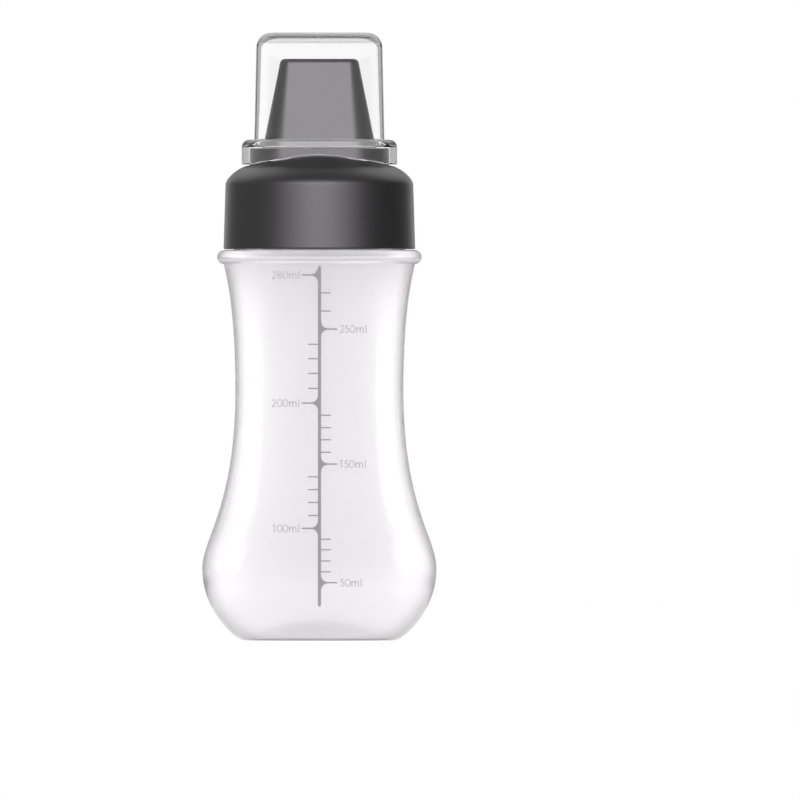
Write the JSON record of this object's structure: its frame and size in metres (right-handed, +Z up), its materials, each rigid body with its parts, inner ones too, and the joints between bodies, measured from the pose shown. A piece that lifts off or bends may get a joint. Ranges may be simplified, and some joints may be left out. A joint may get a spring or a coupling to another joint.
{
  "type": "squeeze sauce bottle",
  "caption": "Translucent waisted squeeze bottle with a round screw lid, a wedge-shaped nozzle with a row of outlets and a clear slip-over dust cover.",
  "frame": {"origin": "centre of the footprint, on the surface the bottle stands on", "axes": "+Z up along the bottle's axis, X along the nozzle's row of outlets, -Y the side with the printed scale"},
  "size_m": [0.0736, 0.0736, 0.1905],
  "materials": {
    "milky_plastic": "satin, translucent polyethylene",
    "lid_plastic": "satin",
    "nozzle_plastic": "satin",
    "seal_rubber": "matt silicone",
    "clear_plastic": "clear, polished"
  },
  "bodies": {
    "bottle": {"bottle": "milky_plastic"},
    "seal": {"neck_seal": "seal_rubber"},
    "lid": {"screw_lid": "lid_plastic", "nozzle": "nozzle_plastic"},
    "cover": {"dust_cover": "clear_plastic"}
  },
  "joints": [
    {"name": "lid_rise", "type": "slide", "parent": "bottle", "child": "seal", "axis": [0, 0, 1], "range_m": [0, 0.00635]},
    {"name": "lid_turn", "type": "hinge", "parent": "seal", "child": "lid", "pos_m": [0, 0, 0.1226], "axis": [0, 0, 1], "range_deg": [0, 540]},
    {"name": "cover_lift", "type": "slide", "parent": "lid", "child": "cover", "axis": [0, 0, 1], "range_m": [0, 0.045]}
  ],
  "couplings": [
    {"joint": "lid_rise", "follows": "lid_turn", "m_per_rad": 0.00067323}
  ]
}
